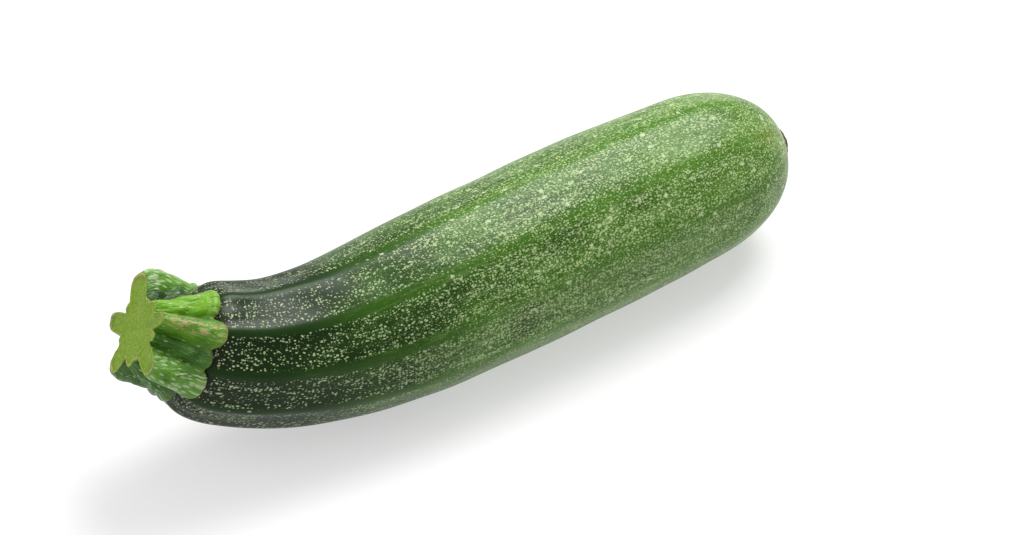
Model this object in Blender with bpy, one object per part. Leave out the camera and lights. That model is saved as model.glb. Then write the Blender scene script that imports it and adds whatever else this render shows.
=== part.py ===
"""A whole courgette with its cut stem, lying on its side.

Three grown pieces: the fruit, the ribbed stem that was cut from the plant, and the dry
scar where the flower dropped off. The fruit follows a curved middle line. It lies straight
over most of its length, and its neck and stem lift off the surface and turn aside.

Frame: +X from the stem end to the blossom end, +Z up, the origin at the bottom centre of the
whole object, which rests on one small flat under its belly at Z = 0. Units are metres.
"""

import math

import bmesh
import bpy
import numpy as np
from mathutils import Vector

# --- Driving dimensions -------------------------------------------------------------------

FRUIT_LENGTH = 0.1800           # along the middle line, shoulder to blossom tip
SHOULDER_RADIUS = 0.0160        # where the fruit meets the stem
NECK_RADIUS = 0.0175            # just behind the shoulder
WAIST_RADIUS = 0.0220           # a little before the middle
BELLY_RADIUS = 0.0223           # the thickest place
BLOSSOM_RADIUS = 0.0209         # on the rounding of the blossom end
SHOULDER_ROUNDING = 0.0120      # length over which the shoulder rounds in
BLOSSOM_ROUNDING = 0.0290       # length over which the blossom end rounds in
SHOULDER_BLUNTNESS = 3.0        # exponents of the rounded ends: 2 is an ellipse
BLOSSOM_BLUNTNESS = 2.12

NECK_STATION = 0.0227           # places along the middle line that the radii belong to
WAIST_STATION = 0.0762
BELLY_STATION = FRUIT_LENGTH - 0.0572
BLOSSOM_STATION = FRUIT_LENGTH - 0.0178

NECK_LIFT = math.radians(35.1)  # how far the neck points up at the stem
NECK_TURN = math.radians(22.7)  # and how far it turns aside
NECK_BEND_LENGTH = 0.0732
TAIL_LIFT = math.radians(4)
TAIL_TURN = math.radians(12)    # the blossom end turns to the other side
TAIL_BEND_LENGTH = 0.040

RIDGE_COUNT = 10
RIDGE_HEIGHT_NECK = 0.0010      # crest to groove at the neck
RIDGE_HEIGHT_BODY = 0.0004      # and over the belly
RIDGE_FADE_LENGTH = 0.071
FACET_COUNT = 5
FACET_HEIGHT = 0.0005
FLAT_DEPTH = 0.00045            # how far the fruit is pressed flat where it lies

STEM_LENGTH = 0.0094            # from the shoulder's tip to the cut face's centre
STEM_CORE_RADIUS = 0.0080       # the grooves' bottoms at the cut face
STEM_GROOVE_DEPTH = 0.0018      # how far down the shoulder the grooves' feet reach
STEM_GROOVE_THICKNESS = 0.0009  # of the grooves' feet
STEM_LEAN_ASIDE = math.radians(-4.3)
STEM_LEAN_UP = math.radians(2)
STEM_GROOVE_FLARE = 1.9         # exponents of the spread down to the shoulder,
STEM_RIB_FLARE = 1.1            # in the grooves and along the ribs
STEM_SWELL_SHIFT = 0.7          # exponent that brings the ribs' swelling near the cut
CUT_TILT_ASIDE = math.radians(6)
CUT_TILT_UP = math.radians(5)
CUT_DISH = 0.0004               # the cut face is hollowed by this much
CUT_EDGE_ROUNDING = 0.0005

SCAR_RADIUS = 0.0032
SCAR_HEIGHT = 0.0013
SCAR_LOBE_SHARE = 0.08

GAP = 0.0003                    # clearance between touching pieces

# The stem's ribs, the five tall ones and a low one between each pair. Each has its angle
# and reach at the cut face, its angle and how far down the shoulder its toe reaches, its half
# width, its toe's thickness, and how far it swells on its way down. Angles are in degrees,
# the rest is in metres.
STEM_RIBS = (
    (31, 0.0143, 33, 0.0034, 27, 0.0012, 0.0014),
    (97, 0.0092, 98, 0.0038, 18, 0.0024, 0.0),
    (124, 0.0122, 130, 0.0056, 14, 0.0018, 0.0004),
    (150, 0.0092, 153, 0.0038, 12, 0.0014, 0.0),
    (183, 0.0148, 180, 0.0042, 19, 0.0020, 0.0006),
    (236, 0.0090, 224, 0.0018, 15, 0.0014, 0.0003),
    (272, 0.0142, 264, 0.0021, 18, 0.0015, 0.0003),
    (297, 0.0083, 295, 0.0018, 12, 0.0012, 0.0),
    (326, 0.0148, 326, 0.0038, 17, 0.0014, 0.0008),
    (355, 0.0086, 359, 0.0032, 13, 0.0012, 0.0),
)
RIB_BLEND = 7                   # how sharply the ribs meet in their grooves
RIB_FLATNESS = 3.2              # exponent of a rib's flanks
RIB_FALL = 0.6                  # how far a rib has fallen off at its half width

FACE_LATITUDE = 0.20            # shares of the stem's rings: where its cut face ends,
TOE_LATITUDE = 0.62             # where the ribs' toes start to round over,
SOLE_LATITUDE = 0.78            # and where its sole starts
EDGE_SHARE = 0.10               # share of the side that rounds over at the cut
DOME_LATITUDE = 0.6             # share of the scar's rings on its dome

FRUIT_SEGMENTS = 40             # four to a ridge
FRUIT_RINGS = 40
STEM_SEGMENTS = 64
STEM_RINGS = 23
SCAR_SEGMENTS = 20
SCAR_RINGS = 8
LINE_STEPS = 400                # steps of the middle line
SLOPE_STEP = 1e-5               # step for slopes of the fruit's profile
CUT_TOLERANCE = 1e-6            # for the level cut that presses the fruit flat
SHORTEST_EDGE = 1e-5            # edges below this are dissolved after the cut

HALF_SHARE = 0.45               # where the neck's half of the fruit ends
LOWEST_LIFT = math.radians(-6)  # range in which the body's lift is sought
HIGHEST_LIFT = math.radians(10)
LIFT_HALVINGS = 30
SAMPLES_ALONG = 90              # places at which the fruit's underside is measured
SAMPLES_AROUND = 73

COLLECTION_NAME = "courgette"

FRUIT_COLOUR = (0.045, 0.115, 0.035)
STEM_COLOUR = (0.190, 0.330, 0.055)
SCAR_COLOUR = (0.120, 0.080, 0.040)
FRUIT_ROUGHNESS = 0.38
STEM_ROUGHNESS = 0.55
SCAR_ROUGHNESS = 0.85


# --- The middle line ----------------------------------------------------------------------

def ease_out(share):
    """One at the start of a bend, falling smoothly to nought at its end."""
    return np.clip(1.0 - share, 0.0, None) ** 2


class MiddleLine:
    """The fruit's curved middle line, from the shoulder to the blossom tip."""

    def __init__(self, body_lift):
        self.body_lift = body_lift
        self.distance = np.linspace(0.0, FRUIT_LENGTH, LINE_STEPS + 1)
        along, _, _ = self.axes((self.distance[1:] + self.distance[:-1]) / 2)
        steps = along * (FRUIT_LENGTH / LINE_STEPS)
        self.points = np.vstack([np.zeros(3), np.cumsum(steps, axis=0)])

    def axes(self, distance):
        """Unit vectors along, aside and upward at places on the line."""
        neck = ease_out(distance / NECK_BEND_LENGTH)
        tail = ease_out((FRUIT_LENGTH - distance) / TAIL_BEND_LENGTH)
        turn = -NECK_TURN * neck - TAIL_TURN * tail
        lift = self.body_lift - (NECK_LIFT + self.body_lift) * neck
        lift = lift + (TAIL_LIFT - self.body_lift) * tail
        level = np.cos(lift)
        along = np.stack([level * np.cos(turn), level * np.sin(turn), np.sin(lift)], -1)
        aside = np.stack([-np.sin(turn), np.cos(turn), np.zeros_like(turn)], -1)
        return along, aside, np.cross(along, aside)

    def ring_point(self, distance, angle, radius):
        """Points at an angle and a radius around the line."""
        _, aside, upward = self.axes(distance)
        centre = [np.interp(distance, self.distance, self.points[:, i]) for i in range(3)]
        across = aside * np.cos(angle)[..., None] + upward * np.sin(angle)[..., None]
        return np.stack(centre, -1) + across * radius[..., None]


# --- The fruit ------------------------------------------------------------------------------

def smooth_profile(distance, stations, values):
    """Curve through the stations that doesn't overshoot their values."""
    stations, values = np.array(stations), np.array(values)
    slopes = np.diff(values) / np.diff(stations)
    both_ways = slopes[1:] * slopes[:-1]
    harmonic = 2 * both_ways / np.where(both_ways > 0, slopes[1:] + slopes[:-1], 1.0)
    tangents = np.concatenate([slopes[:1], np.where(both_ways > 0, harmonic, 0.0), slopes[-1:]])
    index = np.clip(np.searchsorted(stations, distance, side="right") - 1, 0, len(slopes) - 1)
    width = np.diff(stations)[index]
    t = (distance - stations[index]) / width
    return (values[index] * (2 * t**3 - 3 * t**2 + 1)
            + values[index + 1] * (3 * t**2 - 2 * t**3)
            + tangents[index] * width * (t**3 - 2 * t**2 + t)
            + tangents[index + 1] * width * (t**3 - t**2))


def rounded_end(share, exponent):
    """One where an end starts to round, falling to nought at its tip."""
    left = np.clip(1.0 - share, 0.0, 1.0)
    return (1.0 - left**exponent) ** (1.0 / exponent)


def body_radius(distance):
    """Mean radius of the fruit, its two ends rounded in."""
    stations = (0.0, NECK_STATION, WAIST_STATION, BELLY_STATION, BLOSSOM_STATION, FRUIT_LENGTH)
    radii = (SHOULDER_RADIUS, NECK_RADIUS, WAIST_RADIUS, BELLY_RADIUS, BLOSSOM_RADIUS,
             BLOSSOM_RADIUS)
    shoulder = rounded_end(distance / SHOULDER_ROUNDING, SHOULDER_BLUNTNESS)
    blossom = rounded_end((FRUIT_LENGTH - distance) / BLOSSOM_ROUNDING, BLOSSOM_BLUNTNESS)
    return smooth_profile(distance, stations, radii) * shoulder * blossom


def fruit_radius(distance, angle):
    """Radius of the fruit with its ridges and soft facets, a ridge being at the bottom."""
    from_bottom = angle + math.pi / 2
    height = RIDGE_HEIGHT_BODY
    height = height + (RIDGE_HEIGHT_NECK - height) * ease_out(distance / RIDGE_FADE_LENGTH)
    relief = height / 2 * np.cos(RIDGE_COUNT * from_bottom)
    relief = relief - FACET_HEIGHT / 2 * np.cos(FACET_COUNT * from_bottom)
    shoulder = np.clip(distance / SHOULDER_ROUNDING, 0.0, 1.0)
    blossom = np.clip((FRUIT_LENGTH - distance) / BLOSSOM_ROUNDING, 0.0, 1.0)
    return body_radius(distance) + relief * shoulder * blossom


def skin_layer(line, distance, angle, outward):
    """Points of a layer that lies a given way out from the fruit's skin."""
    radius = fruit_radius(distance, angle)
    back = np.clip(distance - SLOPE_STEP, 0.0, FRUIT_LENGTH)
    ahead = np.clip(distance + SLOPE_STEP, 0.0, FRUIT_LENGTH)
    slope = (fruit_radius(ahead, angle) - fruit_radius(back, angle)) / (ahead - back)
    along, _, _ = line.axes(distance)
    lift = outward / np.sqrt(1.0 + slope**2)
    return line.ring_point(distance, angle, radius + lift) - along * (lift * slope)[..., None]


def underside(line, start, end):
    """Lowest height of the fruit between two places along it."""
    distance, angle = np.meshgrid(np.linspace(start, end, SAMPLES_ALONG),
                                  np.linspace(math.pi, 2 * math.pi, SAMPLES_AROUND))
    return line.ring_point(distance, angle, fruit_radius(distance, angle))[..., 2].min()


def resting_line():
    """The middle line whose body lies level, its two halves reaching equally low."""
    middle = FRUIT_LENGTH * HALF_SHARE
    low, high = LOWEST_LIFT, HIGHEST_LIFT
    for _ in range(LIFT_HALVINGS):
        line = MiddleLine((low + high) / 2)
        if underside(line, middle, FRUIT_LENGTH) < underside(line, 0.0, middle):
            low = line.body_lift
        else:
            high = line.body_lift
    return line


def fruit_surface(line, latitude, angle):
    """Points of the fruit's skin, the latitude running from the stem end to the blossom."""
    distance = FRUIT_LENGTH * (1 - np.cos(math.pi * latitude)) / 2
    return line.ring_point(distance, angle, fruit_radius(distance, angle))


# --- The stem and the scar ------------------------------------------------------------------

def rib_values(angle, share):
    """The ribs' reach, toe depth, toe thickness, swelling and stand, a share of the way down."""
    floors = (STEM_CORE_RADIUS, STEM_GROOVE_DEPTH, STEM_GROOVE_THICKNESS, 0.0, 0.0)
    sums = [np.full_like(angle, floor) ** RIB_BLEND for floor in floors]
    for face_angle, reach, foot_angle, depth, half_width, thickness, swell in STEM_RIBS:
        centre = np.radians(face_angle + (foot_angle - face_angle) * share)
        away = np.abs((angle - centre + math.pi) % (2 * math.pi) - math.pi)
        flank = np.exp(-RIB_FALL * (away / math.radians(half_width)) ** RIB_FLATNESS)
        for index, height in enumerate((reach, depth, thickness, swell, 1.0)):
            sums[index] = sums[index] + (height * flank) ** RIB_BLEND
    return [total ** (1 / RIB_BLEND) for total in sums]


def stretch(value, start, end):
    """How far a value has gone from a start to an end, from nought to one."""
    return np.clip((value - start) / (end - start), 0.0, 1.0)


def cut_point(line, angle, reach, height):
    """Points of the stem's top, at a reach from its axis and a height above the shoulder."""
    along, aside, upward = line.axes(np.array(0.0))
    sideways = reach * np.cos(angle) + math.tan(STEM_LEAN_ASIDE) * height
    upwards = reach * np.sin(angle) + math.tan(STEM_LEAN_UP) * height
    return aside * sideways[..., None] + upward * upwards[..., None] - along * height[..., None]


def stem_surface(line, latitude, angle):
    """Points of the stem: its cut face, down its ribs, round their toes, then its sole."""
    face = stretch(latitude, 0.0, FACE_LATITUDE)
    side = stretch(latitude, FACE_LATITUDE, TOE_LATITUDE)
    toe = stretch(latitude, TOE_LATITUDE, SOLE_LATITUDE)
    sole = stretch(latitude, SOLE_LATITUDE, 1.0)
    face_reach, foot_depth, thickness, swell, stand = rib_values(angle, side)

    edge = stretch(side, 0.0, EDGE_SHARE)
    reach = (face_reach - CUT_EDGE_ROUNDING * (1.0 - edge) ** 2) * face
    height = STEM_LENGTH + math.tan(CUT_TILT_ASIDE) * reach * np.cos(angle)
    height = height + math.tan(CUT_TILT_UP) * reach * np.sin(angle)
    height = height - CUT_DISH * (1.0 - face**2) - CUT_EDGE_ROUNDING * edge**2
    top = cut_point(line, angle, reach, height)

    half = thickness / 2
    outward = GAP + half + half * np.cos(math.pi * toe)
    depth = (foot_depth + half * np.sin(math.pi * toe)) * (1.0 - sole) ** 2
    foot = skin_layer(line, depth, angle, outward)

    down = stretch(side, EDGE_SHARE, 1.0)
    flare = STEM_GROOVE_FLARE + (STEM_RIB_FLARE - STEM_GROOVE_FLARE) * np.clip(stand, 0.0, 1.0)
    late = down**STEM_SWELL_SHIFT
    bulge = 4 * swell * late * (1.0 - late)
    axis, aside, upward = line.axes(np.array(0.0))
    drop = ((foot - top) @ axis)[..., None] * axis
    radial = aside * np.cos(angle)[..., None] + upward * np.sin(angle)[..., None]
    spread = (foot - top - drop) * (down**flare)[..., None] + radial * bulge[..., None]
    return top + drop * down[..., None] + spread


def scar_surface(line, latitude, angle):
    """Points of the blossom scar: a low dome on the tip, and its sole a gap above the skin."""
    dome = stretch(latitude, 0.0, DOME_LATITUDE)
    sole = stretch(latitude, DOME_LATITUDE, 1.0)
    rim = SCAR_RADIUS * (1.0 + SCAR_LOBE_SHARE * np.cos(FACET_COUNT * angle))
    share = rim * np.sin(dome * math.pi / 2) * (1.0 - sole) / BLOSSOM_RADIUS
    depth = (1.0 - np.sqrt(1.0 - share**2)) * BLOSSOM_ROUNDING
    thickness = SCAR_HEIGHT * np.cos(dome * math.pi / 2)
    return skin_layer(line, FRUIT_LENGTH - depth, angle, GAP + thickness)


# --- Blender objects ------------------------------------------------------------------------

def clear_scene():
    """Remove whatever the file holds already."""
    for obj in list(bpy.data.objects):
        bpy.data.objects.remove(obj, do_unlink=True)


def make_material(name, colour, roughness):
    """A plain Principled material for one piece."""
    material = bpy.data.materials.new(name)
    material.use_nodes = True
    shader = material.node_tree.nodes["Principled BSDF"]
    shader.inputs["Base Color"].default_value = (*colour, 1.0)
    shader.inputs["Roughness"].default_value = roughness
    shader.inputs["Metallic"].default_value = 0.0
    material.diffuse_color = (*colour, 1.0)
    return material


def moulded_sphere(segments, rings, surface, line):
    """A sphere whose vertices are moved to a surface given by latitude and angle."""
    mesh = bmesh.new()
    bmesh.ops.create_uvsphere(mesh, u_segments=segments, v_segments=rings, radius=1.0)
    unit = np.array([vertex.co for vertex in mesh.verts], dtype=float)
    latitude = np.arccos(np.clip(-unit[:, 2], -1.0, 1.0)) / math.pi
    angle = np.arctan2(unit[:, 1], unit[:, 0])
    for vertex, place in zip(mesh.verts, surface(line, latitude, angle)):
        vertex.co = Vector(place)
    if mesh.calc_volume(signed=True) < 0:
        bmesh.ops.reverse_faces(mesh, faces=mesh.faces)
    return mesh


def press_flat(mesh, height):
    """Cut the mesh off level at a height and close the cut with flat faces."""
    parts = list(mesh.verts) + list(mesh.edges) + list(mesh.faces)
    bmesh.ops.bisect_plane(mesh, geom=parts, plane_co=(0.0, 0.0, height),
                           plane_no=(0.0, 0.0, -1.0), clear_outer=True, dist=CUT_TOLERANCE)
    rim = [edge for edge in mesh.edges if edge.is_boundary]
    bmesh.ops.holes_fill(mesh, edges=rim)
    bmesh.ops.dissolve_degenerate(mesh, dist=SHORTEST_EDGE, edges=mesh.edges)
    bmesh.ops.recalc_face_normals(mesh, faces=mesh.faces)


def bounds(meshes):
    """Lowest and highest corners of a list of meshes."""
    places = np.array([vertex.co for mesh in meshes for vertex in mesh.verts])
    return places.min(axis=0), places.max(axis=0)


def make_object(name, mesh, material, collection):
    """Turn a finished bmesh into a named, smooth-shaded object."""
    data = bpy.data.meshes.new(name)
    mesh.to_mesh(data)
    mesh.free()
    data.materials.append(material)
    data.shade_smooth()
    obj = bpy.data.objects.new(name, data)
    collection.objects.link(obj)
    return obj


def build():
    """Make the three pieces and put the origin at the bottom centre of them all."""
    clear_scene()
    collection = bpy.data.collections.new(COLLECTION_NAME)
    bpy.context.scene.collection.children.link(collection)

    line = resting_line()
    fruit = moulded_sphere(FRUIT_SEGMENTS, FRUIT_RINGS, fruit_surface, line)
    press_flat(fruit, bounds([fruit])[0][2] + FLAT_DEPTH)
    stem = moulded_sphere(STEM_SEGMENTS, STEM_RINGS, stem_surface, line)
    scar = moulded_sphere(SCAR_SEGMENTS, SCAR_RINGS, scar_surface, line)

    meshes = (fruit, stem, scar)
    low, high = bounds(meshes)
    to_origin = Vector((-(low[0] + high[0]) / 2, -(low[1] + high[1]) / 2, -low[2]))
    for mesh in meshes:
        bmesh.ops.translate(mesh, verts=mesh.verts, vec=to_origin)

    skin = make_material("skin", FRUIT_COLOUR, FRUIT_ROUGHNESS)
    rind = make_material("stem", STEM_COLOUR, STEM_ROUGHNESS)
    cork = make_material("scar", SCAR_COLOUR, SCAR_ROUGHNESS)
    make_object("fruit", fruit, skin, collection)
    make_object("stem", stem, rind, collection)
    make_object("blossom_scar", scar, cork, collection)


build()
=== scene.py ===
"""A whole courgette with its cut stem, lying on a pale floor under soft studio light.

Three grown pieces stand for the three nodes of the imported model: the fruit with its ridges and
specks, the ribbed stem that was cut from the plant, and the dry scar of the flower. They follow
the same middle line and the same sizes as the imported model, with finer relief. All sizes are in
metres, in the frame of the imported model: +X towards the blossom end, +Z up, the floor at Z = 0.
"""

import logging
import math
from dataclasses import dataclass, field
from enum import Enum
from functools import partial, reduce
from typing import Callable, Union

import bmesh
import bpy
import numpy as np
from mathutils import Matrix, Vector

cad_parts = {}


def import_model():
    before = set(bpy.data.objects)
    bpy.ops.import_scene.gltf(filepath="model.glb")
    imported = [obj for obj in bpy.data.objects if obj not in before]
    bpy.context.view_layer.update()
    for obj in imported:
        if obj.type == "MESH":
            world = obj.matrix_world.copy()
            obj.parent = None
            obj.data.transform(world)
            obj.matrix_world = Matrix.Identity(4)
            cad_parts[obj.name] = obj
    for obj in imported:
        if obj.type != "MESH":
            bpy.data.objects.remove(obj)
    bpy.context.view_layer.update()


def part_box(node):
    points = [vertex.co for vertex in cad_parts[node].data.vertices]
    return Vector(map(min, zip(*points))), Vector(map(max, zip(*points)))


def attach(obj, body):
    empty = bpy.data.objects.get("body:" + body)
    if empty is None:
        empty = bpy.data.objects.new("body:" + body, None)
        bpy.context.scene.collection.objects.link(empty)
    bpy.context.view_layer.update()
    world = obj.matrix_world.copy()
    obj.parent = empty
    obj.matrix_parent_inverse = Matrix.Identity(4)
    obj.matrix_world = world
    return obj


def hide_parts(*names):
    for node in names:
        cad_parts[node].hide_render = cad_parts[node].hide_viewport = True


LOG = logging.getLogger("courgette")
BAKE_MAP = "OFBake"             # the texture map that each piece brings
TURN = 2 * math.pi
POLE_MARGIN = 1e-6              # latitudes this near an end are the sphere's poles

Array = np.ndarray
Span = tuple[float, float]
Triple = tuple[float, float, float]
Colour = Triple
Socket = Union[bpy.types.NodeSocket, float, Triple]     # what a node's input takes
Moulding = Callable[[Array, Array], Array]


class Slot(Enum):
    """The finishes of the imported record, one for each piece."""

    SKIN = "skin"
    STEM = "stem"
    SCAR = "scar"


class Trace(Enum):
    """The measures of a grown surface that its finish reads, one attribute each."""

    PLACE = "grown_place"       # arc length, then the two offsets from the middle line
    ALONG = "grown_along"       # nought at the stem end, one at the far end
    CREST = "grown_crest"       # one on a ridge or rib, nought in the groove
    CUT = "grown_cut"           # one on the cut face
    RIM = "grown_rim"           # one on the edge of the cut face
    TOE = "grown_toe"           # one on the outermost toes
    FROST = "grown_frost"       # one where a rib is frosted with pale dashes
    WARMTH = "grown_warmth"     # one where a rib is yellow, nought where it is deep green
    CORK = "grown_cork"         # one where a rib's crest is corky


# --- Shapes of growth -----------------------------------------------------------------------

def ease_out(share: Array) -> Array:
    """One at the start of a bend, falling smoothly to nought at its end."""
    return np.clip(1.0 - share, 0.0, None) ** 2


def stretch(value: Array, start: float, end: float) -> Array:
    """How far a value has gone from a start to an end, from nought to one."""
    return np.clip((value - start) / (end - start), 0.0, 1.0)


def soft_step(value: Array, start: float, end: float) -> Array:
    """Like stretch, with no corner at either end."""
    share = stretch(value, start, end)
    return share * share * (3.0 - 2.0 * share)


def rounded_end(share: Array, exponent: float) -> Array:
    """One where an end starts to round, falling to nought at its tip."""
    left = np.clip(1.0 - share, 0.0, 1.0)
    return (1.0 - left**exponent) ** (1.0 / exponent)


def smooth_profile(distance: Array, stations: tuple[float, ...],
                   values: tuple[float, ...]) -> Array:
    """A curve through stations that doesn't overshoot their values.

    Args:
        distance: Places to read the curve at.
        stations: Places of the known values, in order.
        values: The value at each station.

    Returns:
        The curve's value at each place.
    """
    places, heights = np.array(stations), np.array(values)
    slopes = np.diff(heights) / np.diff(places)
    both_ways = slopes[1:] * slopes[:-1]
    harmonic = 2 * both_ways / np.where(both_ways > 0, slopes[1:] + slopes[:-1], 1.0)
    tangents = np.concatenate([slopes[:1], np.where(both_ways > 0, harmonic, 0.0), slopes[-1:]])
    index = np.clip(np.searchsorted(places, distance, side="right") - 1, 0, len(slopes) - 1)
    width = np.diff(places)[index]
    t = (distance - places[index]) / width
    return (heights[index] * (2 * t**3 - 3 * t**2 + 1)
            + heights[index + 1] * (3 * t**2 - 2 * t**3)
            + tangents[index] * width * (t**3 - 2 * t**2 + t)
            + tangents[index + 1] * width * (t**3 - t**2))


@dataclass(frozen=True)
class Wave:
    """One wave over a surface: its steps over two measures, its phase and its height."""

    across: float
    down: float
    phase: float
    height: float


def undulation(first: Array, second: Array, waves: tuple[Wave, ...]) -> Array:
    """A smooth uneven field over two measures of a surface.

    Args:
        first: The measure across, such as the angle round the piece.
        second: The measure down, such as the share of the way along it.
        waves: The waves that run over it.

    Returns:
        The sum of the waves.
    """
    return sum(wave.height * np.sin(wave.across * first + wave.down * second + wave.phase)
               for wave in waves)


@dataclass
class GrowthLine:
    """The curved middle line of the fruit, from the shoulder to the blossom tip."""

    length: float = 0.1800
    neck_lift: float = math.radians(35.1)
    neck_turn: float = math.radians(22.7)
    neck_bend: float = 0.0732
    tail_lift: float = math.radians(4)
    tail_turn: float = math.radians(12)
    tail_bend: float = 0.040
    body_lift: float = math.radians(0.62248)
    steps: int = 400
    distance: Array = field(init=False, repr=False)
    points: Array = field(init=False, repr=False)

    def __post_init__(self) -> None:
        """Walk along the line and keep its points."""
        self.distance = np.linspace(0.0, self.length, self.steps + 1)
        along, _, _ = self.axes((self.distance[1:] + self.distance[:-1]) / 2)
        walked = np.cumsum(along * (self.length / self.steps), axis=0)
        self.points = np.vstack([np.zeros(3), walked])

    def axes(self, distance: Array) -> tuple[Array, Array, Array]:
        """Find which way the line runs.

        Args:
            distance: Places on the line, from the shoulder.

        Returns:
            Unit vectors along, aside and upward at each place.
        """
        neck = ease_out(distance / self.neck_bend)
        tail = ease_out((self.length - distance) / self.tail_bend)
        turn = -self.neck_turn * neck - self.tail_turn * tail
        lift = self.body_lift - (self.neck_lift + self.body_lift) * neck
        lift = lift + (self.tail_lift - self.body_lift) * tail
        level = np.cos(lift)
        along = np.stack([level * np.cos(turn), level * np.sin(turn), np.sin(lift)], -1)
        aside = np.stack([-np.sin(turn), np.cos(turn), np.zeros_like(turn)], -1)
        return along, aside, np.cross(along, aside)

    def ring_point(self, distance: Array, angle: Array, radius: Array) -> Array:
        """Find points around the line.

        Args:
            distance: Places on the line, from the shoulder.
            angle: Angle round it, from the aside direction to the upward one.
            radius: Distance from it.

        Returns:
            The points.
        """
        _, aside, upward = self.axes(distance)
        centre = [np.interp(distance, self.distance, self.points[:, i]) for i in range(3)]
        across = aside * np.cos(angle)[..., None] + upward * np.sin(angle)[..., None]
        return np.stack(centre, -1) + across * radius[..., None]


# --- Grown meshes ---------------------------------------------------------------------------

@dataclass
class GrownMesh:
    """A sphere whose rings are moved on to a grown surface.

    The sphere's south pole is latitude 0 and its north pole latitude 1.
    """

    name: str
    segments: int
    rings: int
    smoothing: int = 0
    mesh: bmesh.types.BMesh = field(init=False, repr=False)
    latitude: Array = field(init=False, repr=False)
    angle: Array = field(init=False, repr=False)

    def __post_init__(self) -> None:
        """Make the sphere and read each vertex's latitude and angle."""
        self.mesh = bmesh.new()
        bmesh.ops.create_uvsphere(
            self.mesh, u_segments=self.segments, v_segments=self.rings, radius=1.0)
        unit = np.array([vertex.co for vertex in self.mesh.verts], dtype=float)
        self.latitude = np.arccos(np.clip(-unit[:, 2], -1.0, 1.0)) / math.pi
        self.angle = np.arctan2(unit[:, 1], unit[:, 0])

    def mould(self, surface: Moulding, shift: Array) -> Array:
        """Move every vertex to its place on a surface.

        Args:
            surface: Gives the points for latitudes and angles.
            shift: How far the growth line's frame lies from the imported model's.

        Returns:
            The vertices' places.
        """
        places = surface(self.latitude, self.angle) + shift
        places[:, 2] = np.maximum(places[:, 2], 0.0)
        for vertex, place in zip(self.mesh.verts, places.tolist()):
            vertex.co = place
        if self.mesh.calc_volume(signed=True) < 0:
            bmesh.ops.reverse_faces(self.mesh, faces=self.mesh.faces)
        return places

    def spread_map(self, data: bpy.types.Mesh, down: Array) -> None:
        """Lay out the texture map: round the piece across it, and down the piece up it.

        Args:
            data: The finished mesh.
            down: Each vertex's share of the way down the piece.
        """
        corners = np.zeros(len(data.loops), dtype=np.int32)
        data.loops.foreach_get("vertex_index", corners)
        starts = np.zeros(len(data.polygons), dtype=np.int32)
        data.polygons.foreach_get("loop_start", starts)
        sides = np.diff(np.append(starts, len(corners)))

        around = (self.angle / TURN) % 1.0
        around[around > 1.0 - 0.5 / self.segments] = 0.0
        u = around[corners]
        pole = np.abs(self.latitude - 0.5)[corners] > 0.5 - POLE_MARGIN
        highest = np.maximum.reduceat(np.where(pole, 0.0, u), starts)
        lowest = np.minimum.reduceat(np.where(pole, 1.0, u), starts)
        over = np.repeat(highest - lowest > 0.5, sides)
        u = np.where(over & (u < 0.5), 1.0, u)
        total = np.add.reduceat(np.where(pole, 0.0, u), starts)
        count = np.add.reduceat(np.where(pole, 0.0, 1.0), starts)
        u = np.where(pole, np.repeat(total / count, sides), u)
        layer = data.uv_layers.new(name=BAKE_MAP)
        layer.data.foreach_set("uv", np.stack([u, down[corners]], -1).astype(np.float32).ravel())

    def finish(self, down: Array, traces: dict[Trace, Array], material: bpy.types.Material,
               slot: Slot, node: str) -> bpy.types.Object:
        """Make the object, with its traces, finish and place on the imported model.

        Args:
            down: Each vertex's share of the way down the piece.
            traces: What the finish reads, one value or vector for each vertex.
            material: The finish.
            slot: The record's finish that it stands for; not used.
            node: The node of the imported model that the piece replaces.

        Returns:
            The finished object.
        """
        data = bpy.data.meshes.new(self.name)
        self.mesh.to_mesh(data)
        self.mesh.free()
        self.spread_map(data, down)
        for trace, values in traces.items():
            vector = values.ndim == 2
            kind = "FLOAT_VECTOR" if vector else "FLOAT"
            attribute = data.attributes.new(trace.value, kind, "POINT")
            attribute.data.foreach_set(
                "vector" if vector else "value", values.astype(np.float32).ravel())
        data.materials.append(material)
        data.shade_smooth()
        piece = bpy.data.objects.new(self.name, data)
        bpy.context.scene.collection.objects.link(piece)
        if self.smoothing:
            smooth = piece.modifiers.new("smoothing", "SUBSURF")
            smooth.levels = smooth.render_levels = self.smoothing
        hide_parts(node)
        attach(piece, "root")
        LOG.info("%s: %d faces before smoothing", self.name, len(data.polygons))
        return piece


# --- Node recipes ---------------------------------------------------------------------------

MILLIMETRES = (1000.0, 1000.0, 1000.0)
NO_SHIFT = (0.0, 0.0, 0.0)
SPECK_SCATTER = 0.82            # specks lie this unevenly: nought is a grid, one is random
HELD_EDGE = 0.02                # how softly a cell turns from bare to holding a speck
MIX_UNDER, MIX_OVER, MIX_RESULT = 6, 7, 2   # the mix node's colour sockets


@dataclass(frozen=True)
class Fade:
    """A smooth change from low to high, as what it reads goes from start to end.

    Where the start is past the end, it changes as what it reads falls.
    """

    start: float
    end: float
    low: float = 0.0
    high: float = 1.0


@dataclass(frozen=True)
class Grain:
    """A soft noise: its waves to a millimetre along and across, and how rough it is."""

    along: float
    across: float
    shift: Triple = NO_SHIFT
    detail: float = 3.0
    roughness: float = 0.5


@dataclass(frozen=True)
class Specks:
    """A scatter of specks, at most one to a cell, and how strongly they show."""

    narrow: float               # cells along for each one across: fewer draw the specks out
    scale: float                # cells to a millimetre across
    softness: float             # how far a speck's edge fades, in cells
    strength: float
    shift: Triple = NO_SHIFT


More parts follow.
